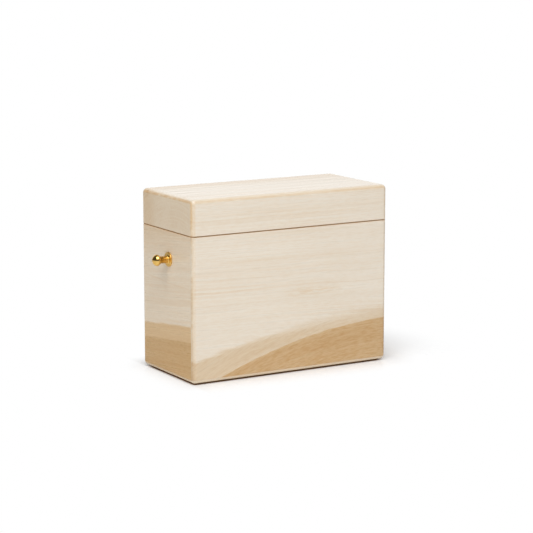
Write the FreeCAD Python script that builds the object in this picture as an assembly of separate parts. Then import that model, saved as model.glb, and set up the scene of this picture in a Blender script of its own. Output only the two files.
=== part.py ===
import FreeCAD, Part
import math
import os

# A lidded box of pale wood that stands on the XY plane with its long side along X and
# its front towards -Y. The front and back boards are rebated at their ends and lap the
# two end boards. The bottom panel lies in a rebate of its own and stands a little proud,
# so that the boards end just above the floor. Four thin liner boards, mitred at the
# corners, cover the inside, and their upper edge stands proud of the body as the lip that
# locates the lid. The lid is one block, hollowed from below, and lifts straight off. It
# rests on a narrow land round its hollow, which leaves a fine gap along the seam. A turned
# brass knob is screwed to the left end from inside, a little nearer the front.
# All sizes are in millimetres.

# Outside of the box
box_length = 200.0
box_depth = 94.0
body_height = 130.0
lid_height = 32.0
edge_radius = 4.0
seam_ease = 0.5
seam_gap = 0.35

# Boards of the body
wall = 9.0
corner_lap = 3.5
bottom_thickness = 6.0
bottom_stand = 1.2
bottom_rebate = 3.5
bottom_gap = 0.15

# Liner, and the lip that it forms above the body
liner_thickness = 4.0
lip_height = 8.0
lip_radius = 6.0
lip_ease = 1.2
mouth_bevel = 0.8

# Hollow of the lid
lid_crown = 10.0
lid_land = 5.0
lid_clearance = 0.3
lead_bevel = 0.8

# Turned brass knob
knob_drop = 25.0
knob_offset = 3.8
knob_projection = 15.9
base_diameter = 12.9
base_thickness = 1.3
base_bevel = 0.45
cove_radius = 1.2
neck_diameter = 6.4
head_diameter = 10.2
head_dome = 4.2
head_rim_radius = 2.3

# Screw and washer that hold the knob
screw_diameter = 3.0
screw_grip = 6.5
screw_tip_bevel = 0.5
screw_head_diameter = 5.6
screw_head_height = 2.0
screw_head_bevel = 0.7
slot_width = 0.8
slot_depth = 0.9
washer_diameter = 7.0
washer_thickness = 0.5
bore_spare = 1.0
thread_clearance = 0.03
hole_clearance = 0.2

# Sizes and places that follow from the ones above
box_height = body_height + lid_height
lip_top = body_height + lip_height
inner_length = box_length - 2 * wall
inner_depth = box_depth - 2 * wall
room_length = inner_length - 2 * liner_thickness
room_depth = inner_depth - 2 * liner_thickness
knob_height = body_height - knob_drop
knob_seat = -box_length / 2
washer_seat = -room_length / 2
screw_seat = washer_seat + washer_thickness
hole_diameter = screw_diameter + 2 * hole_clearance

corner_signs = ((-1, -1), (1, -1), (1, 1), (-1, 1))
side_names = ("front", "right", "back", "left")
same_place = 1e-6


def vector(x, y, z):
    return FreeCAD.Vector(x, y, z)


def slab(length, depth, z_low, z_high):
    """A plain block centred on the Z axis."""
    corner = vector(-length / 2, -depth / 2, z_low)
    return Part.makeBox(length, depth, z_high - z_low, corner)


def rectangle(length, depth, height):
    """The outline of a level rectangle centred on the Z axis."""
    corner = vector(-length / 2, -depth / 2, height)
    return Part.makePlane(length, depth, corner).OuterWire


def upright_edges(shape):
    return [edge for edge in shape.Edges if edge.BoundBox.ZLength > same_place]


def ring_edges(shape, height):
    """The edges that lie level at one height."""
    ring = []
    for edge in shape.Edges:
        level = edge.BoundBox.ZLength < same_place
        if level and abs(edge.BoundBox.ZMin - height) < same_place:
            ring.append(edge)
    return ring


def only_solid(shape):
    """The one solid that a cut or a common has left."""
    if len(shape.Solids) != 1:
        raise ValueError("expected one solid, found %d" % len(shape.Solids))
    return shape.Solids[0]


def outer_block(z_low, z_high, rounded_height, seam_height):
    """Outside of the body or of the lid: rounded all round, and only eased at the seam."""
    block = slab(box_length, box_depth, z_low, z_high)
    rounded = upright_edges(block) + ring_edges(block, rounded_height)
    block = block.makeFillet(edge_radius, rounded)
    return block.makeFillet(seam_ease, ring_edges(block, seam_height))


def body_block():
    return outer_block(bottom_stand, body_height, bottom_stand, body_height)


def end_room(direction):
    """The space of one end board, between the laps of the front and back boards."""
    width = box_depth - 2 * corner_lap
    x_low = -box_length / 2 if direction < 0 else box_length / 2 - wall
    return Part.makeBox(wall, width, body_height, vector(x_low, -width / 2, 0))


def bottom_slab(gap):
    """The rebate of the bottom panel, or the panel itself, smaller by a gap all round."""
    length = inner_length + 2 * (bottom_rebate - gap)
    depth = inner_depth + 2 * (bottom_rebate - gap)
    return slab(length, depth, 0, bottom_thickness)


def long_board(direction):
    """The front board (direction -1) or the back board (+1), rebated for the ends."""
    y_low = -box_depth / 2 if direction < 0 else box_depth / 2 - wall
    corner = vector(-box_length / 2, y_low, 0)
    board = Part.makeBox(box_length, wall, body_height, corner).common(body_block())
    board = board.cut(end_room(-1)).cut(end_room(1))
    return only_solid(board.cut(bottom_slab(0)))


def end_board(direction):
    """The left board (direction -1), drilled for the knob, or the right board (+1)."""
    board = end_room(direction).common(body_block()).cut(bottom_slab(0))
    if direction < 0:
        board = board.cut(screw_hole())
    return only_solid(board)


def bottom_panel():
    return only_solid(bottom_slab(bottom_gap))


def mitred_strip(side, z_low, z_high):
    """The room of one liner board: a straight strip with its ends cut at 45 degrees."""
    first = side_names.index(side)
    second = (first + 1) % len(corner_signs)
    outline = []
    for index, inset in ((first, 0), (second, 0), (second, liner_thickness), (first, liner_thickness)):
        x = corner_signs[index][0] * (inner_length / 2 - inset)
        y = corner_signs[index][1] * (inner_depth / 2 - inset)
        outline.append(vector(x, y, z_low))
    outline.append(outline[0])
    face = Part.Face(Part.makePolygon(outline))
    return face.extrude(vector(0, 0, z_high - z_low))


def liner_envelope():
    """Outside of the liner: square in the body, with rounded corners along the lip."""
    lip = slab(inner_length, inner_depth, body_height, lip_top)
    lip = lip.makeFillet(lip_radius, upright_edges(lip))
    lip = lip.makeFillet(lip_ease, ring_edges(lip, lip_top))
    return slab(inner_length, inner_depth, bottom_thickness, body_height).fuse(lip)


def mouth_cut():
    """A flared plug that bevels the inner arris of the lip."""
    low = rectangle(room_length, room_depth, lip_top - mouth_bevel)
    high = rectangle(room_length + 2 * mouth_bevel, room_depth + 2 * mouth_bevel, lip_top)
    return Part.makeLoft([low, high], True, True)


def liner_board(side):
    board = mitred_strip(side, bottom_thickness, lip_top)
    board = board.common(liner_envelope()).cut(mouth_cut())
    if side == "left":
        board = board.cut(screw_hole())
    return only_solid(board)


def lid_block():
    """The lid: one block with a hollow that drops over the lip with a clearance."""
    seam_top = body_height + seam_gap
    block = outer_block(seam_top, box_height, box_height, seam_top)
    block = block.fuse(slab(inner_length + 2 * lid_land, inner_depth + 2 * lid_land, body_height, seam_top))
    length = inner_length + 2 * lid_clearance
    depth = inner_depth + 2 * lid_clearance
    hollow = slab(length, depth, body_height, box_height - lid_crown)
    hollow = hollow.makeFillet(lip_radius + lid_clearance, upright_edges(hollow))
    block = block.cut(hollow)
    mouth = []
    for edge in ring_edges(block, body_height):
        box = edge.BoundBox
        beside_x = max(abs(box.XMin), abs(box.XMax)) < length / 2 + same_place
        beside_y = max(abs(box.YMin), abs(box.YMax)) < depth / 2 + same_place
        if beside_x and beside_y:
            mouth.append(edge)
    return only_solid(block.makeChamfer(lead_bevel, mouth))


def line(start, end):
    return Part.LineSegment(start, end).toShape()


def arc_about(start, end, centre):
    """The shorter arc from start to end about a centre."""
    chord_middle = (start + end) / 2
    radius = (start - centre).Length
    middle = centre + (chord_middle - centre).normalize() * radius
    return Part.Arc(start, middle, end).toShape()


def turned(edges):
    """A solid turned about the X axis from a closed half section in the XY plane."""
    face = Part.Face(Part.Wire(edges))
    return face.revolve(vector(0, 0, 0), vector(1, 0, 0), 360)


def on_knob_axis(shape, x):
    """Move a turned solid from the X axis to the axis of the knob."""
    shape.translate(vector(x, -knob_offset, knob_height))
    return shape


def round_bar(diameter, x_low, x_high):
    start = vector(x_low, 0, 0)
    bar = Part.makeCylinder(diameter / 2, x_high - x_low, start, vector(1, 0, 0))
    return on_knob_axis(bar, 0)


def screw_hole():
    return round_bar(hole_diameter, knob_seat, washer_seat)


def knob_section():
    """Half section of the knob, from its seat at x = 0 outwards to the tip at -x.

    The head is a dome on a round rim, and the neck runs into the rim from behind.
    """
    base_radius = base_diameter / 2
    neck_radius = neck_diameter / 2
    cove_x = -base_thickness - cove_radius
    cove_y = neck_radius + cove_radius

    head_x = -knob_projection + head_dome
    rim_y = head_diameter / 2 - head_rim_radius
    dome_radius = (head_dome ** 2 + rim_y ** 2 - head_rim_radius ** 2) / (2 * (head_dome - head_rim_radius))
    rim_share = head_rim_radius / (dome_radius - head_rim_radius)
    neck_reach = math.sqrt(head_rim_radius ** 2 - (rim_y - neck_radius) ** 2)

    seat = vector(0, 0, 0)
    seat_edge = vector(0, base_radius, 0)
    base_low = vector(base_bevel - base_thickness, base_radius, 0)
    base_high = vector(-base_thickness, base_radius - base_bevel, 0)
    cove_edge = vector(-base_thickness, cove_y, 0)
    cove_centre = vector(cove_x, cove_y, 0)
    neck_foot = vector(cove_x, neck_radius, 0)

    tip = vector(-knob_projection, 0, 0)
    dome_centre = tip + vector(dome_radius, 0, 0)
    rim_centre = vector(head_x, rim_y, 0)
    neck_top = vector(head_x + neck_reach, neck_radius, 0)
    rim_outer = rim_centre + (rim_centre - dome_centre) * rim_share
    return [
        line(seat, seat_edge),
        line(seat_edge, base_low),
        line(base_low, base_high),
        line(base_high, cove_edge),
        arc_about(cove_edge, neck_foot, cove_centre),
        line(neck_foot, neck_top),
        arc_about(neck_top, rim_outer, rim_centre),
        arc_about(rim_outer, tip, dome_centre),
        line(tip, seat),
    ]


def brass_knob():
    knob = on_knob_axis(turned(knob_section()), knob_seat)
    bore_diameter = screw_diameter + 2 * thread_clearance
    bore_end = knob_seat - screw_grip - bore_spare
    return only_solid(knob.cut(round_bar(bore_diameter, bore_end, knob_seat)))


def knob_washer():
    disc = round_bar(washer_diameter, washer_seat, screw_seat)
    return only_solid(disc.cut(round_bar(hole_diameter, washer_seat, screw_seat)))


def knob_screw():
    """A slotted screw with a bevelled head inside the box and its tip in the knob."""
    radius = screw_diameter / 2
    head_radius = screw_head_diameter / 2
    tip_x = knob_seat - screw_grip - screw_seat
    outline = [
        vector(tip_x, 0, 0),
        vector(tip_x, radius - screw_tip_bevel, 0),
        vector(tip_x + screw_tip_bevel, radius, 0),
        vector(0, radius, 0),
        vector(0, head_radius, 0),
        vector(screw_head_height - screw_head_bevel, head_radius, 0),
        vector(screw_head_height, head_radius - screw_head_bevel, 0),
        vector(screw_head_height, 0, 0),
    ]
    section = [line(start, end) for start, end in zip(outline, outline[1:])]
    section.append(line(outline[-1], outline[0]))
    slot_corner = vector(screw_head_height - slot_depth, -head_radius, -slot_width / 2)
    slot = Part.makeBox(slot_depth, screw_head_diameter, slot_width, slot_corner)
    return on_knob_axis(only_solid(turned(section).cut(slot)), screw_seat)


def all_nodes():
    nodes = {
        "front_board": long_board(-1),
        "back_board": long_board(1),
        "left_end_board": end_board(-1),
        "right_end_board": end_board(1),
        "bottom_panel": bottom_panel(),
        "lid_block": lid_block(),
        "brass_knob": brass_knob(),
        "knob_washer": knob_washer(),
        "knob_screw": knob_screw(),
    }
    for side in side_names:
        nodes[side + "_liner"] = liner_board(side)
    return nodes


os.makedirs("parts", exist_ok=True)
for name, shape in all_nodes().items():
    shape.exportStep("parts/%s.step" % name)
    box = shape.BoundBox
    print("%-16s volume %9.1f  x %7.2f %7.2f  y %7.2f %7.2f  z %7.2f %7.2f  valid %s" % (
        name, shape.Volume, box.XMin, box.XMax, box.YMin, box.YMax, box.ZMin, box.ZMax, shape.isValid()))
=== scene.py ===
"""Looks of a pale wooden box with a lift-off lid and a turned brass knob.

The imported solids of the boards, the lining, the lid and the screw stay as they are and take
solid-wood and steel finishes. The knob is turned again with a finer profile. All sizes are in
metres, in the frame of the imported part: X along the box, -Y out of its front, Z up.
"""

import logging
import math
from dataclasses import dataclass, field
from enum import Enum
from typing import Any, ClassVar, Mapping, Sequence, Union

import bpy
from mathutils import Matrix, Vector


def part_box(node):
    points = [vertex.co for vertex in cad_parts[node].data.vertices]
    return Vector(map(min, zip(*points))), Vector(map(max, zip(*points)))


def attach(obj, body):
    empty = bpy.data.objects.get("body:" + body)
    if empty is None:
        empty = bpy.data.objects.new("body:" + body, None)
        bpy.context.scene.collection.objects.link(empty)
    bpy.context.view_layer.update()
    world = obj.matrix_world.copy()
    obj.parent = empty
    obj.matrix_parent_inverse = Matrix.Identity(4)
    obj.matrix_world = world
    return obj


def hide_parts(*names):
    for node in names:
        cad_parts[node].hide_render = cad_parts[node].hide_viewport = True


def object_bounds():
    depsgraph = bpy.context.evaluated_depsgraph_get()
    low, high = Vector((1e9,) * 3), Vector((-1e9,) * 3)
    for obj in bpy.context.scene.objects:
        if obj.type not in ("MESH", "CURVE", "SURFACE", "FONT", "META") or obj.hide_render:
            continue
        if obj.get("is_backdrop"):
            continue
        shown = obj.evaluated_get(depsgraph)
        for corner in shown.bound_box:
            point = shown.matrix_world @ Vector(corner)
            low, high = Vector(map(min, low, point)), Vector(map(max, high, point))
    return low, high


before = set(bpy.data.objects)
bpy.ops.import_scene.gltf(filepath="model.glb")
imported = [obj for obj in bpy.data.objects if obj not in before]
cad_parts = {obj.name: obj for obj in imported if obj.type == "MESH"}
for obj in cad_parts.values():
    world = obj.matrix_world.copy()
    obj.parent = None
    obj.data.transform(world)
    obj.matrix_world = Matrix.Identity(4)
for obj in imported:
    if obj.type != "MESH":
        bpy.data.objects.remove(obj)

LOG = logging.getLogger("wooden_box")
LID_LOW, LID_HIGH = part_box("lid_block")
HALF_LENGTH = LID_HIGH.x
HALF_DEPTH = LID_HIGH.y
SEAM_RISE = 0.0002
SEAM_HEIGHT = LID_LOW.z + SEAM_RISE
FOOT_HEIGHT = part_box("front_board")[0].z

POINT_RADIUS = 1e-7
NOISE_MEAN = 0.5
SPOT = ("Along", "Across", "Through", "Seed")

Pair = tuple[float, float]
Point = tuple[float, float, float]
Colour = tuple[float, float, float]
Material = bpy.types.Material
Socket = bpy.types.NodeSocket
Feed = Union[Socket, float, Sequence[float]]
Range = tuple[Feed, Feed]
Sockets = Mapping[str, Socket]


class SocketKind(Enum):
    """What a socket of a node group carries."""

    VALUE = "NodeSocketFloat"
    COLOUR = "NodeSocketColor"
    VECTOR = "NodeSocketVector"


class Grain(Enum):
    """How a board lies: the axes along its grain, across its face and through it."""

    LONG_UPRIGHT = (0, 2, 1)
    CROSS_UPRIGHT = (1, 2, 0)
    LONG_FLAT = (0, 1, 2)


class Bench:
    """Short calls for placing and wiring the nodes of one tree.

    Attributes:
        mix_inputs, mix_output: Places of the colour sockets among those of a Mix node.
    """

    mix_inputs = (0, 6, 7)
    mix_output = 2

    def __init__(self, tree: bpy.types.NodeTree) -> None:
        """Work on the tree of a material, a world or a node group."""
        self.tree = tree

    def place(self, kind: str, **settings: Any) -> bpy.types.Node:
        """Add a node.

        Args:
            kind: Blender's name of the node type.
            **settings: Properties to set on the node.

        Returns:
            The new node.
        """
        node = self.tree.nodes.new(kind)
        for name, value in settings.items():
            setattr(node, name, value)
        return node

    def feed(self, socket: Socket, source: Feed) -> None:
        """Link a socket to another one, or set its own value.

        Args:
            socket: The input to feed.
            source: An output socket, a number, or a colour or vector.
        """
        if isinstance(source, bpy.types.NodeSocket):
            self.tree.links.new(source, socket)
        elif isinstance(source, (int, float)):
            socket.default_value = source
        else:
            spare = len(socket.default_value) - len(source)
            socket.default_value = (*source, *([1.0] * spare))

    def supply(self, node: bpy.types.Node, sources: Mapping[str, Feed]) -> None:
        """Feed the named inputs of a node."""
        for name, source in sources.items():
            self.feed(node.inputs[name], source)

    def fill(self, kind: str, sources: Mapping[str, Feed], **settings: Any) -> Socket:
        """Add a node and feed its named inputs.

        Args:
            kind: Blender's name of the node type.
            sources: What feeds its inputs, by name.
            **settings: Properties to set on the node.

        Returns:
            The node's first output.
        """
        node = self.place(kind, **settings)
        self.supply(node, sources)
        return node.outputs[0]

    def chain(self, kind: str, *sources: Feed, **settings: Any) -> Socket:
        """Add a node and feed its inputs in their order.

        Args:
            kind: Blender's name of the node type.
            *sources: What feeds its inputs, in their order.
            **settings: Properties to set on the node.

        Returns:
            The node's first output.
        """
        node = self.place(kind, **settings)
        for socket, source in zip(node.inputs, sources):
            self.feed(socket, source)
        return node.outputs[0]

    def math(self, operation: str, *terms: Feed) -> Socket:
        """Return the result of a Math node on one to three terms."""
        return self.chain("ShaderNodeMath", *terms, operation=operation)

    def times(self, first: Feed, *others: Feed) -> Feed:
        """Multiply terms.

        Args:
            first: The first term.
            *others: The terms that it is multiplied with.

        Returns:
            The product.
        """
        for other in others:
            first = self.math("MULTIPLY", first, other)
        return first

    def add_times(self, first: Feed, second: Feed, more: Feed) -> Socket:
        """Return the product of two terms, and more added to it."""
        return self.math("MULTIPLY_ADD", first, second, more)

    def minus(self, first: Feed, second: Feed) -> Socket:
        """Return the first term less the second."""
        return self.math("SUBTRACT", first, second)

    def smooth(self, value: Feed, low: Feed, high: Feed) -> Socket:
        """Return a soft step from 0 at low to 1 at high."""
        return self.fill("ShaderNodeMapRange", {"Value": value, "From Min": low, "From Max": high},
                         interpolation_type="SMOOTHSTEP")

    def span(self, value: Feed, low: Feed, high: Feed) -> Socket:
        """Return low where the value is 0 and high where it is 1."""
        return self.fill("ShaderNodeMapRange", {"Value": value, "To Min": low, "To Max": high}, clamp=True)

    def mix(self, share: Feed, first: Feed, second: Feed, blend: str = "MIX") -> Socket:
        """Mix two colours.

        Args:
            share: How much of the second colour is taken, from 0 to 1.
            first: The colour at share 0.
            second: The colour that is blended over it.
            blend: Blender's name of the blend.

        Returns:
            The mixed colour.
        """
        node = self.place("ShaderNodeMix", data_type="RGBA", blend_type=blend)
        for index, source in zip(self.mix_inputs, (share, first, second)):
            self.feed(node.inputs[index], source)
        return node.outputs[self.mix_output]

    def split(self, vector: Feed) -> tuple[Socket, Socket, Socket]:
        """Take a vector apart.

        Args:
            vector: The vector to take apart.

        Returns:
            Its X, Y and Z.
        """
        node = self.place("ShaderNodeSeparateXYZ")
        self.feed(node.inputs[0], vector)
        return tuple(node.outputs)

    def noise(self, vector: Feed, scale: float, detail: float, roughness: float = 0.5) -> Socket:
        """Return a cloud noise of about 0.5 over a vector."""
        return self.fill("ShaderNodeTexNoise", {
            "Vector": vector, "Scale": scale, "Detail": detail, "Roughness": roughness})

    def line_noise(self, value: Feed, detail: float) -> Socket:
        """Return a noise of about 0.5 along one value."""
        return self.fill("ShaderNodeTexNoise", {"W": value, "Scale": 1.0, "Detail": detail, "Roughness": 0.5},
                         noise_dimensions="1D")

    def grain_noise(self, given: Sockets, stretch: Range, detail: float, roughness: float = 0.5) -> Socket:
        """Return a noise that is drawn out along the grain of a board.

        Args:
            given: Sockets that hold the place on the board and its seed.
            stretch: Cells of noise per metre along the grain and across it.
            detail: Layers of finer noise.
            roughness: Strength of the finer layers.

        Returns:
            A noise of about 0.5.
        """
        start = self.math("ADD", given["Along"], given["Seed"])
        place = self.chain("ShaderNodeCombineXYZ", self.times(start, stretch[0]),
                           self.times(given["Across"], stretch[1]), self.times(given["Through"], stretch[1]))
        return self.noise(place, 1.0, detail, roughness)

    def centred(self, noise: Socket) -> Socket:
        """Return a noise that swings about 0."""
        return self.minus(noise, NOISE_MEAN)

    def length(self, first: Feed, second: Feed) -> Socket:
        """Return the length of two parts at right angles."""
        return self.math("SQRT", self.add_times(first, first, self.times(second, second)))

    def bow(self, given: Sockets) -> Socket:
        """Return the rise along a board of a line with a tilt and a bend."""
        bent = self.times(given["Bend"], given["Along"])
        return self.times(given["Along"], self.minus(given["Tilt"], bent))

    def window(self, value: Feed, rise: Range, fall: Range) -> Socket:
        """Return 1 between a soft rise and a soft fall, and 0 outside them."""
        return self.times(self.smooth(value, *rise), self.smooth(value, *fall))

    def weigh(self, given: Sockets, shares: Mapping[str, float]) -> Feed:
        """Add up named sockets, each times its share.

        Args:
            given: Sockets by name.
            shares: The share of each socket that counts.

        Returns:
            The weighted sum.
        """
        total: Feed = 0.0
        for name, share in shares.items():
            total = self.add_times(given[name], share, total)
        return total

    def tint(self, share: Feed, colour: Feed, tone: Feed) -> Socket:
        """Return a colour that keeps only a tone's part of its light where the share is 1."""
        return self.mix(share, colour, tone, "MULTIPLY")

    def effect(self, effect: "Effect", values: Mapping[str, Feed]) -> Sockets:
        """Place a shared effect.

        Args:
            effect: The effect whose node group is placed.
            values: What its named inputs take here.

        Returns:
            The named outputs of the placed group.
        """
        node = self.place("ShaderNodeGroup", node_tree=effect.group(), label=effect.title)
        self.supply(node, values)
        return node.outputs


class Effect:
    """An effect that several finishes share, kept as one shader node group."""

    title: ClassVar[str] = ""
    takes: ClassVar[Mapping[str, SocketKind]] = {}
    gives: ClassVar[Mapping[str, SocketKind]] = {}

    def wire(self, bench: Bench, given: Sockets) -> dict[str, Feed]:
        """Wire the nodes of the group.

        Args:
            bench: The bench of the group's tree.
            given: The group's inputs by name.

        Returns:
            What feeds the group's outputs, by name.
        """
        raise NotImplementedError

    def group(self) -> bpy.types.NodeTree:
        """Find the effect's node group, which the first call builds.

        Returns:
            The node group.
        """
        ready = bpy.data.node_groups.get(self.title)
        if ready is not None:
            return ready
        tree = bpy.data.node_groups.new(self.title, "ShaderNodeTree")
        for name, kind in self.takes.items():
            tree.interface.new_socket(name, in_out="INPUT", socket_type=kind.value)
        for name, kind in self.gives.items():
            tree.interface.new_socket(name, in_out="OUTPUT", socket_type=kind.value)
        bench = Bench(tree)
        source = bench.place("NodeGroupInput")
        bench.supply(bench.place("NodeGroupOutput"), self.wire(bench, source.outputs))
        return tree


def values(*names: str) -> dict[str, SocketKind]:
    """Return sockets that each carry a value."""
    return {name: SocketKind.VALUE for name in names}


def colours(*names: str) -> dict[str, SocketKind]:
    """Return sockets that each carry a colour."""
    return {name: SocketKind.COLOUR for name in names}


def labelled(thing: Any, *names: str) -> dict[str, Any]:
    """Return the named fields of a thing by the names of the sockets that they feed."""
    return {name.replace("_", " ").title(): getattr(thing, name) for name in names}


class GrowthField(Effect):
    """How far a point of a board lies from the pith, with the sweep of the trunk."""

    title = "growth_field"
    takes = values(*SPOT, "Pith Across", "Pith Through", "Tilt", "Bend", "Calm", "Calm Tilt", "Wander")
    gives = values("Depth")
    drift_stretch = (6.0, 26.0)

    def wire(self, bench: Bench, given: Sockets) -> dict[str, Feed]:
        """Wire a distance from the pith less the rise of the rings along the board.

        Args:
            bench: The bench of the group's tree.
            given: The group's inputs by name.

        Returns:
            The depth in the trunk.
        """
        radius = bench.length(bench.minus(given["Across"], given["Pith Across"]),
                              bench.minus(given["Through"], given["Pith Through"]))
        level = bench.times(given["Along"], given["Calm Tilt"])
        swept = bench.minus(1.0, given["Calm"])
        rise = bench.add_times(bench.bow(given), swept, bench.times(level, given["Calm"]))
        drift = bench.centred(bench.grain_noise(given, self.drift_stretch, detail=2.0))
        grown = bench.minus(radius, rise)
        return {"Depth": bench.add_times(drift, given["Wander"], grown)}


class GrowthLines(Effect):
    """The broad bands and thin late-wood lines of the growth rings."""

    title = "growth_lines"
    takes = values("Depth", *SPOT, "Spacing")
    gives = values("Band", "Line")
    seed_rings = 7.0
    band_range = (0.28, 0.72)
    lines_per_ring = 1.9
    line_shift = 31.0
    line_range = (0.14, 0.0)
    fade_stretch = (5.0, 60.0)
    fade_range = (0.38, 0.68)

    def wire(self, bench: Bench, given: Sockets) -> dict[str, Feed]:
        """Wire an uneven run of rings, with lines that come and go along the grain.

        Args:
            bench: The bench of the group's tree.
            given: The group's inputs by name.

        Returns:
            Masks of the bands and the lines.
        """
        ring = bench.math("ADD", bench.math("DIVIDE", given["Depth"], given["Spacing"]),
                          bench.times(given["Seed"], self.seed_rings))
        band = bench.smooth(bench.line_noise(ring, detail=3.0), *self.band_range)
        crowded = bench.add_times(ring, self.lines_per_ring, self.line_shift)
        ridge = bench.math("ABSOLUTE", bench.centred(bench.line_noise(crowded, detail=2.0)))
        kept = bench.smooth(bench.grain_noise(given, self.fade_stretch, detail=3.0), *self.fade_range)
        return {"Band": band, "Line": bench.times(bench.smooth(ridge, *self.line_range), kept)}


@dataclass(frozen=True)
class GrainLayer:
    """One noise among the fibres.

    Attributes:
        stretch, detail, roughness: As the grain noise takes them.
        limits: Noise at which the layer starts and at which it is full.
    """

    stretch: Range
    detail: float
    limits: Range
    roughness: float = 0.5


class Fibres(Effect):
    """Fine streaks, short flecks, pores and slow clouds that run with the grain."""

    title = "fibres"
    layers: ClassVar[Mapping[str, GrainLayer]] = {
        "Fibre": GrainLayer((9.0, 420.0), 3.0, (0.28, 0.72), 0.60),
        "Fleck": GrainLayer((60.0, 760.0), 2.0, (0.55, 0.78)),
        "Pore": GrainLayer((170.0, 900.0), 2.0, (0.38, 0.72)),
        "Ribbon": GrainLayer((3.5, 120.0), 3.0, (0.36, 0.66), 0.55),
        "Cloud": GrainLayer((8.0, 24.0), 2.0, (0.3, 0.7)),
    }
    takes = values(*SPOT)
    gives = values(*layers)

    def wire(self, bench: Bench, given: Sockets) -> dict[str, Feed]:
        """Wire one stretched noise for each layer.

        Args:
            bench: The bench of the group's tree.
            given: The group's inputs by name.

        Returns:
            The mask of each layer.
        """
        masks: dict[str, Feed] = {}
        for name, layer in self.layers.items():
            noise = bench.grain_noise(given, layer.stretch, layer.detail, layer.roughness)
            masks[name] = bench.smooth(noise, *layer.limits)
        return masks


class HeartwoodEdge(Effect):
    """The part of a board below a curved edge, where the wood turns darker."""

    title = "heartwood_edge"
    takes = values(*SPOT, "Level", "Tilt", "Bend", "Slope", "Softness", "Spread", "Raggedness")
    gives = values("Mask")
    rag_stretch = (22.0, 300.0)
    spread_range = (-0.06, 0.07)

    def wire(self, bench: Bench, given: Sockets) -> dict[str, Feed]:
        """Wire a soft and slightly ragged step over the edge's curve.

        Args:
            bench: The bench of the group's tree.
            given: The group's inputs by name.

        Returns:
            The mask of the darker wood.
        """
        edge = bench.math("ADD", given["Level"], bench.bow(given))
        edge = bench.add_times(given["Through"], given["Slope"], edge)
        ragged = bench.centred(bench.grain_noise(given, self.rag_stretch, detail=3.0))
        edge = bench.add_times(ragged, given["Raggedness"], edge)
        inside = bench.minus(edge, given["Across"])
        far = bench.smooth(given["Along"], *self.spread_range)
        soft = bench.add_times(far, given["Spread"], given["Softness"])
        return {"Mask": bench.smooth(inside, bench.times(soft, -1.0), soft)}


class TanStreak(Effect):
    """One tan streak that runs along a board and breaks up into flecks."""

    title = "tan_streak"
    takes = values(*SPOT, "Level", "Tilt", "Half Width", "From", "To", "Broken")
    gives = values("Mask")
    drift_stretch = (16.0, 20.0)
    drift_reach = 0.006
    taper = 0.03
    fleck_stretch = (95.0, 640.0)
    fleck_range = (0.38, 0.62)

    def wire(self, bench: Bench, given: Sockets) -> dict[str, Feed]:
        """Wire a band about a sloping line, cut off at both ends and eaten into by noise.

        Args:
            bench: The bench of the group's tree.
            given: The group's inputs by name.

        Returns:
            The mask of the streak.
        """
        line = bench.add_times(given["Along"], given["Tilt"], given["Level"])
        drift = bench.centred(bench.grain_noise(given, self.drift_stretch, detail=2.0))
        off = bench.add_times(drift, self.drift_reach, bench.minus(given["Across"], line))
        band = bench.smooth(bench.math("ABSOLUTE", off), given["Half Width"], 0.0)
        ends = bench.window(given["Along"],
                            (given["From"], bench.math("ADD", given["From"], self.taper)),
                            (given["To"], bench.minus(given["To"], self.taper)))
        eaten = bench.smooth(bench.grain_noise(given, self.fleck_stretch, detail=3.0), *self.fleck_range)
        kept = bench.minus(1.0, bench.times(given["Broken"], eaten))
        return {"Mask": bench.times(band, ends, kept)}


class ArrisWearAndShade(Effect):
    """Rounded edges with small dark nicks, and tan lines beside them that are partly burnish and partly
    painted shade.
    """

    title = "worn_arris"
    takes = {"Normal": SocketKind.VECTOR, "Place": SocketKind.VECTOR, **values("Facing")}
    gives = values("Mask", "Nick", "Burnish")
    turn_range = (0.02, 0.22)
    mark_noise = (260.0, 3.0, (0.52, 0.72))
    run_noise = (34.0, 1.0, (0.45, 0.62))
    wear_noise = (120.0, 3.0, (0.30, 0.62))
    brink_rise = (0.60, 0.84)
    brow_rise = (0.62, 0.86)
    face_fall = (0.9995, 0.970)
    upper_range = (0.05, 0.35)
    brow_strength = (0.45, 0.52)
    brow_wear = (0.6, 1.0)

    def wire(self, bench: Bench, given: Sockets) -> dict[str, Feed]:
        """Wire a mask from how far the surface turns away from the box's three axes.

        Args:
            bench: The bench of the group's tree.
            given: The group's inputs by name.

        Returns:
            Masks of the edges, their nicks and the tan lines of burnish and painted shade.
        """
        normal = bench.split(given["Normal"])
        parts = [bench.math("ABSOLUTE", part) for part in normal]
        largest = bench.math("MAXIMUM", bench.math("MAXIMUM", parts[0], parts[1]), parts[2])
        mask = bench.smooth(bench.minus(1.0, largest), *self.turn_range)
        marks, runs, worn = (
            bench.smooth(bench.noise(given["Place"], scale, detail), *limits)
            for scale, detail, limits in (self.mark_noise, self.run_noise, self.wear_noise))
        # brink and brow are partly burnish and partly painted shade, on the part of the rounding next to a
        # face
        brink = bench.times(bench.window(given["Facing"], self.brink_rise, self.face_fall), worn)
        upper = bench.smooth(normal[2], *self.upper_range)
        brow = bench.times(bench.window(parts[1], self.brow_rise, self.face_fall),
                           bench.span(upper, *self.brow_strength), bench.span(worn, *self.brow_wear))
        return {"Mask": mask, "Nick": bench.times(marks, runs, mask),
                "Burnish": bench.math("MAXIMUM", brink, brow)}


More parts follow.
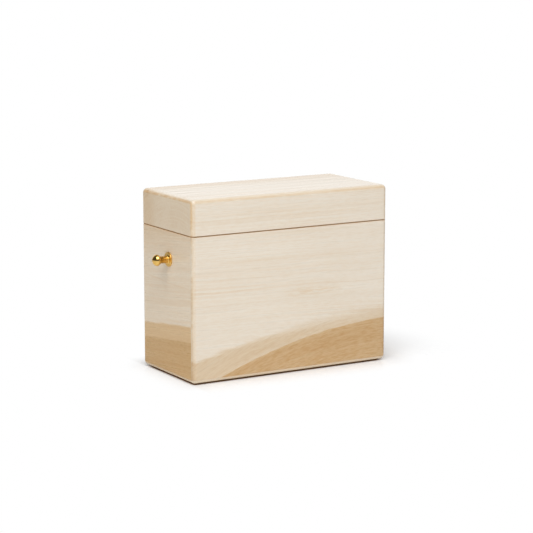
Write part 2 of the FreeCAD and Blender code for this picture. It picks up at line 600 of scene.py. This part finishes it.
class SeamAndFoot(Effect):
    """Painted shade in the seam and under the boards, and a painted highlight of floor light on the band
    above the foot.
    """

    title = "seam_and_foot"
    takes = {"Place": SocketKind.VECTOR, **values("Seam", "Foot", "Half Length", "Half Depth")}
    gives = values("Grime", "Rubbed")
    outer_range = (0.0022, 0.0008)
    crack_range = (0.0008, 0.0003)
    brim_range = (0.0007, 0.0001)
    highlight_rise = (0.0002, 0.0008)
    highlight_fall = (0.0036, 0.0024)

    def wire(self, bench: Bench, given: Sockets) -> dict[str, Feed]:
        """Wire bands of height that stay near the outer faces.

        Args:
            bench: The bench of the group's tree.
            given: The group's inputs by name.

        Returns:
            Masks of the painted shade and of the painted highlight above the foot.
        """
        x, y, z = bench.split(given["Place"])
        inset = bench.math("MINIMUM",
                           bench.minus(given["Half Length"], bench.math("ABSOLUTE", x)),
                           bench.minus(given["Half Depth"], bench.math("ABSOLUTE", y)))
        off = bench.math("ABSOLUTE", bench.minus(z, given["Seam"]))
        # painted shade in the seam between lid and body, near the outer faces
        crack = bench.times(bench.smooth(off, *self.crack_range), bench.smooth(inset, *self.outer_range))
        height = bench.minus(z, given["Foot"])
        # painted shade along the bottom of the boards, where the box meets the floor
        brim = bench.smooth(height, *self.brim_range)
        # the band just above the foot gets a painted highlight of light from the floor
        return {"Grime": bench.math("MAXIMUM", crack, brim),
                "Rubbed": bench.window(height, self.highlight_rise, self.highlight_fall)}


class WoodColour(Effect):
    """The colour of a board from its masks and tones."""

    title = "wood_colour"
    takes = {**colours("Sap", "Warm", "Line Tint", "Medium Tint", "Heart Tint", "End Tint",
                       "Arris Tint", "Grime Tint", "Rubbed Tone"),
             **values("Band", "Line", "Fibre", "Fleck", "Pore", "Ribbon", "Cloud", "Streak",
                      "Medium", "Heart", "End", "Arris", "Nick", "Burnish", "Grime", "Rubbed",
                      "Line Strength")}
    gives = colours("Colour")
    mottle: ClassVar[Mapping[str, float]] = {"Band": 0.25, "Cloud": 0.40, "Ribbon": 0.35}
    heart_grain: ClassVar[Mapping[str, float]] = {"Fibre": 0.46, "Line": 0.10, "Pore": 0.56, "Band": 0.14}
    fine_grain: ClassVar[Mapping[str, float]] = {"Fibre": 0.22, "Fleck": 0.20, "Pore": 0.22}
    medium_grain = 0.3
    medium_calm = -0.65
    arris_strength = 0.6
    nick_strength = 0.55

    def wire(self, bench: Bench, given: Sockets) -> dict[str, Feed]:
        """Wire tint over tint, from the sapwood to the marks on the edges, ending with painted shade and a
        painted highlight.

        Args:
            bench: The bench of the group's tree.
            given: The group's inputs by name.

        Returns:
            The colour.
        """
        line_tint = given["Line Tint"]
        wood = bench.mix(bench.weigh(given, self.mottle), given["Sap"], given["Warm"])
        wood = bench.tint(given["Medium"], wood, given["Medium Tint"])
        wood = bench.tint(given["Heart"], wood, given["Heart Tint"])
        inside = bench.math("MAXIMUM", given["Heart"], bench.times(given["Medium"], self.medium_grain))
        grainy = bench.times(inside, bench.weigh(given, self.heart_grain))
        wood = bench.tint(grainy, wood, given["Heart Tint"])
        plain = bench.add_times(given["Medium"], self.medium_calm, 1.0)
        lines = bench.times(given["Line"], given["Line Strength"], plain)
        wood = bench.tint(lines, wood, line_tint)
        for name, strength in self.fine_grain.items():
            wood = bench.tint(bench.times(given[name], strength), wood, line_tint)
        wood = bench.tint(given["Streak"], wood, line_tint)
        wood = bench.tint(given["End"], wood, given["End Tint"])
        # the rounded edges take a warmer tone that is partly painted shade, toning down the light they catch
        arris = bench.times(given["Arris"], self.arris_strength)
        wood = bench.tint(arris, wood, given["Arris Tint"])
        nicks = bench.times(given["Nick"], self.nick_strength)
        # nicks, and tan lines beside the edges that are partly burnish and partly painted shade
        wood = bench.tint(bench.math("MAXIMUM", nicks, given["Burnish"]), wood, line_tint)
        # painted highlight of floor light on the band above the foot
        wood = bench.mix(given["Rubbed"], wood, given["Rubbed Tone"])
        # painted shade in the seam and under the boards
        return {"Colour": bench.tint(given["Grime"], wood, given["Grime Tint"])}


class TurnedMetal(Effect):
    """Fine lathe lines about an axis along X, faint smears and a satin part near the board."""

    title = "turned_metal"
    takes = {"Place": SocketKind.VECTOR, **values("Axis Y", "Axis Z", "Lines Per Metre", "Satin From")}
    gives = values("Groove", "Smear", "Satin")
    smear_scale, smear_range = 420.0, (0.35, 0.7)
    satin_range = (-0.0006, 0.0006)

    def wire(self, bench: Bench, given: Sockets) -> dict[str, Feed]:
        """Wire rings that run both along the axis and out from it.

        Args:
            bench: The bench of the group's tree.
            given: The group's inputs by name.

        Returns:
            The lathe lines, and masks of the smears and the satin part.
        """
        x, y, z = bench.split(given["Place"])
        radius = bench.length(bench.minus(y, given["Axis Y"]), bench.minus(z, given["Axis Z"]))
        rings = bench.times(bench.minus(radius, x), given["Lines Per Metre"])
        smears = bench.noise(given["Place"], self.smear_scale, detail=3.0)
        inward = bench.minus(x, given["Satin From"])
        return {"Groove": bench.line_noise(rings, detail=2.0),
                "Smear": bench.smooth(smears, *self.smear_range),
                "Satin": bench.smooth(inward, *self.satin_range)}


@dataclass(frozen=True)
class Edge:
    """A curved edge of darker wood on a board's face.

    Attributes:
        level: Height of the edge at the board's middle.
        tilt: Its rise per metre there.
        bend: How fast it falls away on both sides, per metre.
        slope: Its rise per metre through the board.
        softness: Half the width of the change of tone.
        spread: How much softer the edge is at the far end of the board.
        raggedness: How far the fibres carry the tone over the edge.
    """

    level: float
    tilt: float = 0.0
    bend: float = 0.0
    slope: float = 0.25
    softness: float = 0.0006
    spread: float = 0.0
    raggedness: float = 0.002

    def inputs(self, face: float) -> dict[str, float]:
        """Return what the heartwood effect takes, with the level at the board's outer face."""
        named = labelled(self, "tilt", "bend", "slope", "softness", "spread", "raggedness")
        return {"Level": self.level - self.slope * face, **named}


NO_EDGE = Edge(level=-1.0)


@dataclass(frozen=True)
class Streak:
    """A tan streak along a board.

    Attributes:
        level: Height of the streak at the board's middle.
        tilt: Its rise per metre.
        half_width: Half its width.
        ends: Places along the board where it starts and ends.
        broken: How far it is broken into flecks, from 0 to 1.
        strength: How plain it is, from 0 to 1.
    """

    level: float
    tilt: float
    half_width: float
    ends: Pair = (-0.2, 0.2)
    broken: float = 0.4
    strength: float = 0.3

    def inputs(self) -> dict[str, float]:
        """Return what the streak effect takes from this streak."""
        named = labelled(self, "level", "tilt", "half_width", "broken")
        return {"From": self.ends[0], "To": self.ends[1], **named}


@dataclass(frozen=True)
class Figure:
    """How the growth rings lie in a board.

    Attributes:
        pith_across: Place of the pith across the face.
        pith_through: Place of the pith through the board.
        face: Place of the board's outer face through the board.
        spacing: Width of a ring.
        sweep: The edge whose tilt and bend the lower rings follow.
        calm_tilt: Rise per metre of the straight rings above the sweep.
        wander: How far the rings stray.
    """

    pith_across: float
    pith_through: float
    face: float = 0.0
    spacing: float = 0.007
    sweep: Edge = NO_EDGE
    calm_tilt: float = 0.0
    wander: float = 0.006


@dataclass(frozen=True)
class WoodFinish:
    """Sanded and lightly oiled solid wood, drawn through the whole thickness of a board.

    Attributes:
        figure: How its rings lie.
        seed: Shift of the figure along the board, so that no two boards are alike.
        medium, heart: Edges below which the wood is a little darker, and heartwood.
        sap, warm: Palest and warmest tone of the sapwood.
        medium_tint, line_tint, end_tint, and the tints of the edges and of the shade: Share of the light that
        this part keeps. The edge tint is partly painted shade on the rounded edges, and the shade tint is
        painted shade in the seam and under the boards.
        heart_tint: Share of the medium band's light that the heartwood keeps.
        foot_highlight: How plain the painted highlight of floor light above the foot is, from 0 to 1.
        burnish_and_shade: How plain the tan lines beside the rounded edges are, partly burnish and partly
            painted shade.
        satin_swing: How far the fibres change the roughness.
    """

    name: str
    grain: Grain
    figure: Figure
    seed: float
    medium: Edge = NO_EDGE
    heart: Edge = NO_EDGE
    streaks: tuple[Streak, ...] = ()
    sap: Colour = (0.871, 0.798, 0.688)
    warm: Colour = (0.838, 0.752, 0.633)
    medium_tint: Colour = (0.877, 0.792, 0.672)
    heart_tint: Colour = (0.881, 0.766, 0.597)
    line_tint: Colour = (0.890, 0.780, 0.640)
    end_tint: Colour = (0.930, 0.905, 0.870)
    arris_tint: Colour = (0.960, 0.920, 0.860)
    grime_tint: Colour = (0.600, 0.400, 0.220)
    rubbed_tone: Colour = (0.870, 0.760, 0.590)
    foot_highlight: float = 0.0
    line_strength: float = 0.36
    roughness: float = 0.30
    burnish_and_shade: float = 0.75
    grain_depth: float = 0.000006
    satin_swing: float = 0.05

    calm_below: ClassVar[float] = 0.5
    end_facing: ClassVar[Range] = (0.55, 0.95)
    arris_polish: ClassVar[float] = -0.06
    end_dulling: ClassVar[float] = 0.10
    shade_dulling: ClassVar[float] = 0.6
    line_relief: ClassVar[float] = -0.4
    fleck_relief: ClassVar[float] = -0.5

    def tones(self) -> dict[str, Feed]:
        """Return what the colour effect takes from this finish alone."""
        return labelled(self, "sap", "warm", "line_tint", "medium_tint", "heart_tint", "end_tint",
                        "arris_tint", "grime_tint", "rubbed_tone", "line_strength")

    def material(self) -> Material:
        """Build the material.

        Returns:
            A wood material that reads the place on the object alone.
        """
        material, bench, shader = new_material(self.name)
        place = bench.place("ShaderNodeTexCoord").outputs["Object"]
        normal = bench.place("ShaderNodeNewGeometry").outputs["Normal"]
        axes = bench.split(place)
        along, across, through = (axes[axis] for axis in self.grain.value)
        spot = {"Along": along, "Across": across, "Through": through, "Seed": self.seed}
        figure = self.figure
        medium, heart = (
            bench.effect(HeartwoodEdge(), {**spot, **edge.inputs(figure.face)})["Mask"]
            for edge in (self.medium, self.heart))
        depth = bench.effect(GrowthField(), {
            **spot, **labelled(figure, "pith_across", "pith_through", "calm_tilt", "wander"),
            **labelled(figure.sweep, "tilt", "bend"),
            "Calm": bench.math("LESS_THAN", medium, self.calm_below)})["Depth"]
        rings = bench.effect(GrowthLines(), {**spot, "Depth": depth, "Spacing": figure.spacing})
        swept = depth if figure.sweep is not NO_EDGE else across
        fibres = bench.effect(Fibres(), {**spot, "Across": swept})
        edges = bench.effect(SeamAndFoot(), {
            "Place": place, "Seam": SEAM_HEIGHT, "Foot": FOOT_HEIGHT,
            "Half Length": HALF_LENGTH, "Half Depth": HALF_DEPTH})
        facing = bench.math("ABSOLUTE", bench.split(normal)[self.grain.value[0]])
        arris = bench.effect(ArrisWearAndShade(), {"Normal": normal, "Place": place, "Facing": facing})
        streak: Feed = 0.0
        for one in self.streaks:
            mask = bench.effect(TanStreak(), {**spot, **one.inputs()})["Mask"]
            streak = bench.add_times(mask, one.strength, streak)
        end = bench.smooth(facing, *self.end_facing)
        colour = bench.effect(WoodColour(), {
            **self.tones(), **{name: rings[name] for name in GrowthLines.gives},
            **{name: fibres[name] for name in Fibres.gives},
            "Streak": streak, "Medium": medium, "Heart": heart, "End": end,
            "Arris": arris["Mask"], "Nick": arris["Nick"],
            "Burnish": bench.times(arris["Burnish"], self.burnish_and_shade),
            # painted shade in the seam and under the boards, and a painted highlight above the foot
            "Grime": edges["Grime"],
            "Rubbed": bench.times(edges["Rubbed"], self.foot_highlight)})["Colour"]
        satin: Feed = bench.span(fibres["Fibre"], self.roughness - self.satin_swing,
                                 self.roughness + self.satin_swing)
        for mask, change in ((arris["Mask"], self.arris_polish), (end, self.end_dulling),
                             (edges["Grime"], self.shade_dulling)):
            satin = bench.add_times(mask, change, satin)
        relief = bench.add_times(rings["Line"], self.line_relief, fibres["Fibre"])
        relief = bench.add_times(fibres["Fleck"], self.fleck_relief, relief)
        bench.supply(shader, {
            "Base Color": colour, "Roughness": satin,
            "Normal": bench.fill("ShaderNodeBump", {"Distance": self.grain_depth, "Height": relief})})
        return material


@dataclass(frozen=True)
class MetalFinish:
    """Turned metal with fine lathe lines about the knob's axis.

    Attributes:
        dull: Colour under the heaviest smear.
        roughness, smear: Roughness between the smears, and what a smear adds.
        axis: Place of the axis in Y and Z.
        satin_from, satin: Place in X from which the metal is satin, and the roughness that this adds.
    """

    name: str
    colour: Colour
    dull: Colour
    roughness: float
    smear: float
    lines_per_metre: float
    groove_depth: float
    axis: Pair
    satin_from: float = 0.0
    satin: float = 0.0

    smear_share: ClassVar[float] = 0.5

    def material(self) -> Material:
        """Build the material.

        Returns:
            A metal material with lathe lines.
        """
        material, bench, shader = new_material(self.name)
        turned = bench.effect(TurnedMetal(), {
            "Place": bench.place("ShaderNodeTexCoord").outputs["Object"],
            "Axis Y": self.axis[0], "Axis Z": self.axis[1],
            **labelled(self, "lines_per_metre", "satin_from")})
        dulled = bench.times(turned["Smear"], self.smear_share)
        smeared = bench.span(turned["Smear"], self.roughness, self.roughness + self.smear)
        relief = {"Distance": self.groove_depth, "Height": turned["Groove"]}
        bench.supply(shader, {
            "Metallic": 1.0, "Base Color": bench.mix(dulled, self.colour, self.dull),
            "Roughness": bench.add_times(turned["Satin"], self.satin, smeared),
            "Normal": bench.fill("ShaderNodeBump", relief)})
        return material


def new_material(name: str) -> tuple[Material, Bench, bpy.types.Node]:
    """Start a material.

    Args:
        name: Name of the material.

    Returns:
        The material, the bench of its nodes and its Principled BSDF.
    """
    material = bpy.data.materials.new(name)
    material.use_nodes = True
    return material, Bench(material.node_tree), material.node_tree.nodes["Principled BSDF"]


def dress(node: str, material: Material) -> None:
    """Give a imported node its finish.

    Args:
        node: Name of the node.
        material: The finish that it takes.
    """
    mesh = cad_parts[node].data
    mesh.materials.clear()
    mesh.materials.append(material)
    LOG.info("%s takes %s", node, material.name)


@dataclass
class BoxBody:
    """The four boards, the bottom and the lining of the box.

    Attributes:
        front_streaks, end_streaks: Tan lines and bands of the front and the left board.
        end_tones: Tones in which the end boards differ from the long ones.
    """

    front_heart: Edge = Edge(level=0.0274, tilt=0.2385, bend=1.084)
    front_medium: Edge = Edge(level=0.0390, tilt=0.1400, bend=0.514, softness=0.0020,
                              spread=0.0075, raggedness=0.006)
    end_heart: Edge = Edge(level=0.0327, tilt=-0.110, softness=0.0008)
    end_medium: Edge = Edge(level=0.0464, tilt=-0.120, softness=0.0012, raggedness=0.003)
    back_heart: Edge = Edge(level=0.0210, tilt=-0.060, bend=0.60)
    back_medium: Edge = Edge(level=0.0330, tilt=-0.040, bend=0.35, softness=0.0025, raggedness=0.006)
    right_heart: Edge = Edge(level=0.0300, tilt=0.050, softness=0.0008)
    right_medium: Edge = Edge(level=0.0420, tilt=0.070, softness=0.0012, raggedness=0.003)
    front_streaks: tuple[Streak, ...] = (
        Streak(0.0785, -0.025, 0.0013, broken=0.3, strength=0.35),
        Streak(0.0890, -0.026, 0.0012, broken=0.4, strength=0.28),
        Streak(0.0715, 0.020, 0.0058, (-0.018, 0.062), broken=0.9, strength=0.70),
    )
    end_streaks: tuple[Streak, ...] = (
        Streak(0.0845, 0.01, 0.0011, broken=0.3, strength=0.45),
        Streak(0.1350, -0.15, 0.0390, broken=0.0, strength=0.60),
    )
    # the end boards take a lighter painted shade in the seam and under the boards
    end_tones: dict[str, Colour] = field(default_factory=lambda: {
        "sap": (0.900, 0.785, 0.625), "warm": (0.870, 0.737, 0.565),
        "medium_tint": (0.876, 0.722, 0.502), "heart_tint": (0.888, 0.828, 0.690),
        "grime_tint": (0.90, 0.74, 0.55)})

    def finishes(self) -> dict[str, WoodFinish]:
        """Return the finish of each node of the body.

        Returns:
            Finishes by the name of the node.
        """
        front = WoodFinish(
            "front_poplar", Grain.LONG_UPRIGHT,
            Figure(-0.30, -0.13, -HALF_DEPTH, sweep=self.front_heart, calm_tilt=-0.025), seed=0.0,
            medium=self.front_medium, heart=self.front_heart, streaks=self.front_streaks, foot_highlight=0.75)
        back = WoodFinish(
            "back_poplar", Grain.LONG_UPRIGHT,
            Figure(-0.30, 0.16, HALF_DEPTH, sweep=self.back_heart, calm_tilt=0.015), seed=2.3,
            medium=self.back_medium, heart=self.back_heart, foot_highlight=0.75)
        left = WoodFinish(
            "left_poplar", Grain.CROSS_UPRIGHT,
            Figure(-0.28, -0.20, -HALF_LENGTH, sweep=self.end_heart, calm_tilt=-0.12), seed=4.1,
            medium=self.end_medium, heart=self.end_heart, streaks=self.end_streaks,
            foot_highlight=0.60, **self.end_tones)
        right = WoodFinish(
            "right_poplar", Grain.CROSS_UPRIGHT,
            Figure(-0.28, 0.20, HALF_LENGTH, sweep=self.right_heart, calm_tilt=0.02), seed=5.7,
            medium=self.right_medium, heart=self.right_heart, foot_highlight=0.60, **self.end_tones)
        bottom = WoodFinish("bottom_poplar", Grain.LONG_FLAT, Figure(-0.02, -0.08), seed=7.9,
                            roughness=0.62)
        lining = Figure(0.20, 0.0)
        long_liner = WoodFinish("long_liner_poplar", Grain.LONG_UPRIGHT, lining, seed=9.4, roughness=0.60)
        cross_liner = WoodFinish("cross_liner_poplar", Grain.CROSS_UPRIGHT, lining, seed=11.2, roughness=0.60)
        return {
            "front_board": front, "back_board": back, "left_end_board": left, "right_end_board": right,
            "bottom_panel": bottom, "front_liner": long_liner, "back_liner": long_liner,
            "left_liner": cross_liner, "right_liner": cross_liner}

    def build(self) -> None:
        """Dress the nodes of the body."""
        made: dict[str, Material] = {}
        for node, finish in self.finishes().items():
            if finish.name not in made:
                made[finish.name] = finish.material()
            dress(node, made[finish.name])


@dataclass
class Lid:
    """The hollowed block that lifts off.

    Attributes:
        pith: Place of the pith across and through the block.
        tan: The tan band along the back of the top.
    """

    pith: Pair = (-0.017, 0.070)
    tan: Streak = Streak(0.034, -0.02, 0.026, broken=0.25, strength=0.68)

    def build(self) -> None:
        """Dress the block as one piece of wood with rings about its pith."""
        finish = WoodFinish(
            "lid_poplar", Grain.LONG_FLAT, Figure(*self.pith, spacing=0.0055, wander=0.0015),
            seed=13.0, streaks=(self.tan,), end_tint=(0.998, 0.930, 0.826), roughness=0.27, burnish_and_shade=1.3,
            grain_depth=0.0000005, satin_swing=0.01)
        dress("lid_block", finish.material())


@dataclass
class Knob:
    """The turned brass knob on the left end, with its washer and screw.

    Attributes:
        seat: Place of the knob's axis on the face of the left board.
        seat_ease: Bevel of the base where it meets the board.
        cove: Radius of the hollow between base and neck.
        head_dome: Height of the head beyond its largest radius.
        steps: Steps of the base's rounding, the cove, the head's rim and its dome.
    """

    seat: Point = (-0.100, -0.0038, 0.105)
    projection: float = 0.0159
    base_radius: float = 0.00645
    base_thickness: float = 0.0013
    base_round: float = 0.0005
    seat_ease: float = 0.0001
    cove: float = 0.0012
    neck_radius: float = 0.0032
    head_radius: float = 0.0051
    head_dome: float = 0.0042
    head_round: float = 0.0023
    segments: int = 96
    steps: tuple[int, int, int, int] = (8, 14, 20, 14)

    def profile(self) -> list[Pair]:
        """Return the half section of the knob.

        Returns:
            Points as distance out from the seat and radius, from the seat to the tip.
        """
        equator = self.projection - self.head_dome
        rim = self.head_radius - self.head_round
        height = self.head_dome
        dome = (height ** 2 + rim ** 2 - self.head_round ** 2) / (2 * (height - self.head_round))
        brow = math.degrees(math.atan2(rim, dome - height))
        throat = 180.0 + math.degrees(math.asin((rim - self.neck_radius) / self.head_round))
        edge_steps, cove_steps, rim_steps, dome_steps = self.steps
        points = [(0.0, 0.0), (0.0, self.base_radius - self.seat_ease), (self.seat_ease, self.base_radius)]
        points += arc((self.base_thickness - self.base_round, self.base_radius - self.base_round),
                      self.base_round, 90.0, 0.0, edge_steps)
        points += arc((self.base_thickness + self.cove, self.neck_radius + self.cove),
                      self.cove, 180.0, 270.0, cove_steps)
        points += arc((equator, rim), self.head_round, throat, brow, rim_steps)
        points += arc((self.projection - dome, 0.0), dome, brow, 0.0, dome_steps)[1:]
        return points

    def mesh(self) -> bpy.types.Mesh:
        """Turn the half section about the knob's axis.

        Returns:
            A smooth closed mesh.
        """
        profile = self.profile()
        verts: list[Point] = []
        faces: list[tuple[int, ...]] = []
        rings: list[list[int]] = []
        x, y, z = self.seat
        for out, radius in profile:
            count = self.segments if radius > POINT_RADIUS else 1
            rings.append(list(range(len(verts), len(verts) + count)))
            for step in range(count):
                angle = 2 * math.pi * step / self.segments
                verts.append((x - out, y + radius * math.cos(angle), z + radius * math.sin(angle)))
        for low, high in zip(rings, rings[1:]):
            for step in range(self.segments):
                after = (step + 1) % self.segments
                corners = [low[step % len(low)], low[after % len(low)],
                           high[after % len(high)], high[step % len(high)]]
                faces.append(tuple(dict.fromkeys(corners)))
        mesh = bpy.data.meshes.new("turned_knob")
        mesh.from_pydata(verts, [], faces)
        mesh.validate()
        mesh.shade_smooth()
        return mesh

    def build(self) -> None:
        """Turn the knob, set it on its seat and dress the screw and the washer."""
        axis = self.seat[1:]
        head_start = self.projection - self.head_dome - self.head_round
        brass = MetalFinish(
            "polished_brass", colour=(0.86, 0.55, 0.155), dull=(0.76, 0.45, 0.10),
            roughness=0.07, smear=0.08, lines_per_metre=2600.0, groove_depth=0.000002, axis=axis,
            satin_from=self.seat[0] - head_start, satin=0.24)
        steel = MetalFinish(
            "zinc_steel", colour=(0.62, 0.62, 0.63), dull=(0.50, 0.50, 0.50),
            roughness=0.25, smear=0.12, lines_per_metre=3200.0, groove_depth=0.000003, axis=axis)
        knob = bpy.data.objects.new("turned_knob", self.mesh())
        bpy.context.scene.collection.objects.link(knob)
        knob.data.materials.append(brass.material())
        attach(knob, "box_body")
        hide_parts("brass_knob")
        LOG.info("%s takes %s", knob.name, brass.name)
        zinc = steel.material()
        dress("knob_washer", zinc)
        dress("knob_screw", zinc)


def arc(centre: Pair, radius: float, start: float, end: float,
        steps: int) -> list[Pair]:
    """Return points on an arc.

    Args:
        centre: Centre of the arc as distance out and radius.
        radius: Radius of the arc.
        start: Angle of the first point in degrees, 0 straight out and 90 away from the axis.
        end: Angle of the last point.
        steps: Number of steps between them.

    Returns:
        The points from start to end.
    """
    points = []
    for step in range(steps + 1):
        angle = math.radians(start + (end - start) * step / steps)
        points.append((centre[0] + radius * math.cos(angle), centre[1] + radius * math.sin(angle)))
    return points


@dataclass
class Studio:
    """A pale floor, soft light from above and a camera at the photograph's angle.

    Attributes:
        aim: Middle of the box, which the camera and the softbox face.
        nudge: Shift of what the camera looks at, right and up in the picture.
        contact_shade, under_box_shade: Painted shade on the floor beside the box and under it.
        footprint: Half the length and depth of what stands on the floor.
        lift: Glow that whitens the floor to the eye; it fades out near the box, which paints a soft contact
            shade there.
        white_reach: Distances from the middle over which the floor turns white to the eye.
        white_behind, white_ahead, white_aside: Places over which it does so on three sides.
        aside_reach, clear_reach, under_reach: Distances from the box over which the floor changes.
        gloom: Strength of the room that polished metal mirrors.
        backdrop: Direction of the white backdrop that it mirrors too.
    """

    aim: Point = (0.0, 0.0, 0.081)
    azimuth: float = -30.63
    elevation: float = 10.18
    distance: float = 1.752
    lens: float = 131.05
    nudge: Pair = (0.00127, 0.00766)
    floor_size: float = 30.0
    floor_tone: Colour = (0.927, 0.938, 0.952)
    contact_shade: Colour = (0.920, 0.920, 0.925)
    under_box_shade: Colour = (0.56, 0.36, 0.20)
    floor_roughness: float = 0.32
    floor_gloss: float = 0.12
    footprint: Pair = (0.0970, 0.0440)
    lift: float = 0.13
    white_reach: Range = (0.13, 0.21)
    white_behind: Range = (0.045, 0.085)
    white_ahead: Range = (-0.044, -0.052)
    white_aside: Range = (-0.096, -0.102)
    aside_reach: Range = (-0.020, 0.028)
    clear_reach: Range = (0.0, 0.045)
    under_reach: Range = (0.0005, 0.0)
    key_azimuth: float = -31.0
    key_elevation: float = 55.0
    key_distance: float = 2.2
    key_size: float = 1.9
    key_power: float = 45.4
    ambient: float = 0.30
    gloom: float = 0.08
    backdrop: Point = (0.50, 0.85, 0.15)
    backdrop_range: Range = (0.55, 0.90)
    backdrop_white: float = 1.1

    def axes(self, azimuth: float, elevation: float) -> tuple[Vector, Vector, Vector]:
        """Work out the directions of a view.

        Args:
            azimuth: Angle of the view about Z in degrees, 0 in front of the box.
            elevation: Angle above the floor in degrees.

        Returns:
            Its directions to the right, up and back.
        """
        a, e = math.radians(azimuth), math.radians(elevation)
        right = Vector((math.cos(a), math.sin(a), 0.0))
        back = Vector((math.sin(a) * math.cos(e), -math.cos(a) * math.cos(e), math.sin(e)))
        return right, back.cross(right), back

    def stand(self, thing: bpy.types.Object, place: Vector, axes: tuple[Vector, Vector, Vector]) -> None:
        """Put a camera or a lamp in its place, looking along its own -Z.

        Args:
            thing: The camera or the lamp.
            place: Where it stands.
            axes: Its directions to the right, up and back.
        """
        turn = Matrix(axes).transposed().to_4x4()
        thing.matrix_world = Matrix.Translation(place) @ turn
        bpy.context.scene.collection.objects.link(thing)

    def camera(self) -> None:
        """Set up the camera."""
        lens = bpy.data.cameras.new("camera")
        lens.lens = self.lens
        axes = self.axes(self.azimuth, self.elevation)
        target = Vector(self.aim) + axes[0] * self.nudge[0] + axes[1] * self.nudge[1]
        thing = bpy.data.objects.new("camera", lens)
        self.stand(thing, target + axes[2] * self.distance, axes)
        bpy.context.scene.camera = thing

    def lamps(self) -> None:
        """Hang the softbox."""
        light = bpy.data.lights.new("softbox", "AREA")
        light.shape = "SQUARE"
        light.size = self.key_size
        light.energy = self.key_power
        axes = self.axes(self.key_azimuth, self.key_elevation)
        thing = bpy.data.objects.new("softbox", light)
        self.stand(thing, Vector(self.aim) + axes[2] * self.key_distance, axes)
        thing.visible_camera = False

    def sky(self) -> None:
        """Make the world white to the eye and soft as light."""
        world = bpy.data.worlds.new("studio")
        bpy.context.scene.world = world
        world.use_nodes = True
        bench = Bench(world.node_tree)
        way = bench.place("ShaderNodeVectorMath", operation="DOT_PRODUCT")
        bench.feed(way.inputs[0], bench.place("ShaderNodeTexCoord").outputs["Generated"])
        bench.feed(way.inputs[1], self.backdrop)
        behind = bench.smooth(way.outputs["Value"], *self.backdrop_range)
        rays = bench.place("ShaderNodeLightPath").outputs
        mirrored = rays["Is Glossy Ray"]
        bright = bench.math("MAXIMUM", rays["Is Camera Ray"], bench.times(mirrored, behind))
        dim = bench.span(mirrored, self.ambient, self.gloom)
        bench.supply(world.node_tree.nodes["Background"], {
            "Color": (1.0, 1.0, 1.0), "Strength": bench.span(bright, dim, self.backdrop_white)})

    def floor_finish(self) -> Material:
        """Build the floor's material, which fades to white away from the box and has painted shade beside and
        under it.

        Returns:
            A pale material that is whiter to the eye than to the light.
        """
        material, bench, shader = new_material("paper_floor")
        place = bench.place("ShaderNodeTexCoord").outputs["Object"]
        along, across = bench.split(place)[:2]
        outside = [bench.math("MAXIMUM", bench.minus(bench.math("ABSOLUTE", part), half), 0.0)
                   for part, half in zip((along, across), self.footprint)]
        beside = bench.length(*outside)
        clear = bench.smooth(beside, *self.clear_reach)
        white_parts = (
            bench.smooth(across, *self.white_behind),
            bench.times(bench.smooth(across, *self.white_ahead), clear),
            bench.times(bench.smooth(along, *self.white_aside), bench.smooth(beside, *self.aside_reach)))
        away = bench.smooth(bench.length(along, across), *self.white_reach)
        for part in white_parts:
            away = bench.math("MAXIMUM", away, part)
        # painted contact shade: the floor turns darker close to the box
        tone = bench.mix(clear, self.contact_shade, self.floor_tone)
        # painted shade: the floor under the box is dark brown
        under = bench.smooth(beside, *self.under_reach)
        bench.supply(shader, {
            "Roughness": self.floor_roughness, "Specular IOR Level": self.floor_gloss,
            "Base Color": bench.mix(under, tone, self.under_box_shade)})
        eye = bench.place("ShaderNodeLightPath").outputs["Is Camera Ray"]
        # the glow fades out close to the box, which paints a soft contact shade there
        lift = bench.fill("ShaderNodeEmission", {"Strength": bench.times(eye, clear, self.lift)})
        lifted = bench.chain("ShaderNodeAddShader", shader.outputs[0], lift)
        white = bench.place("ShaderNodeEmission").outputs[0]
        surface = bench.chain("ShaderNodeMixShader", bench.times(away, eye), lifted, white)
        bench.feed(material.node_tree.nodes["Material Output"].inputs["Surface"], surface)
        return material

    def floor(self) -> None:
        """Lay the floor."""
        half = self.floor_size / 2
        mesh = bpy.data.meshes.new("floor")
        mesh.from_pydata([(-half, -half, 0), (half, -half, 0), (half, half, 0), (-half, half, 0)], [],
                         [(0, 1, 2, 3)])
        mesh.materials.append(self.floor_finish())
        thing = bpy.data.objects.new("floor", mesh)
        bpy.context.scene.collection.objects.link(thing)
        thing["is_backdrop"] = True

    def build(self) -> None:
        """Set up the floor, the light and the camera."""
        bpy.context.scene.view_settings.view_transform = "Standard"
        for step in (self.floor, self.sky, self.lamps, self.camera):
            step()
            LOG.info("%s ready", step.__name__)


def corners() -> list[list[float]]:
    """Return the lowest and highest corner of what is shown, as plain numbers."""
    return [[float(value) for value in corner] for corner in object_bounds()]


def main() -> None:
    """Build the box's looks piece by piece."""
    logging.basicConfig(level=logging.INFO, format="%(name)s: %(message)s")
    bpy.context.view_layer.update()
    for part in (BoxBody(), Lid(), Knob(), Studio()):
        part.build()


if __name__ == "__main__":
    main()
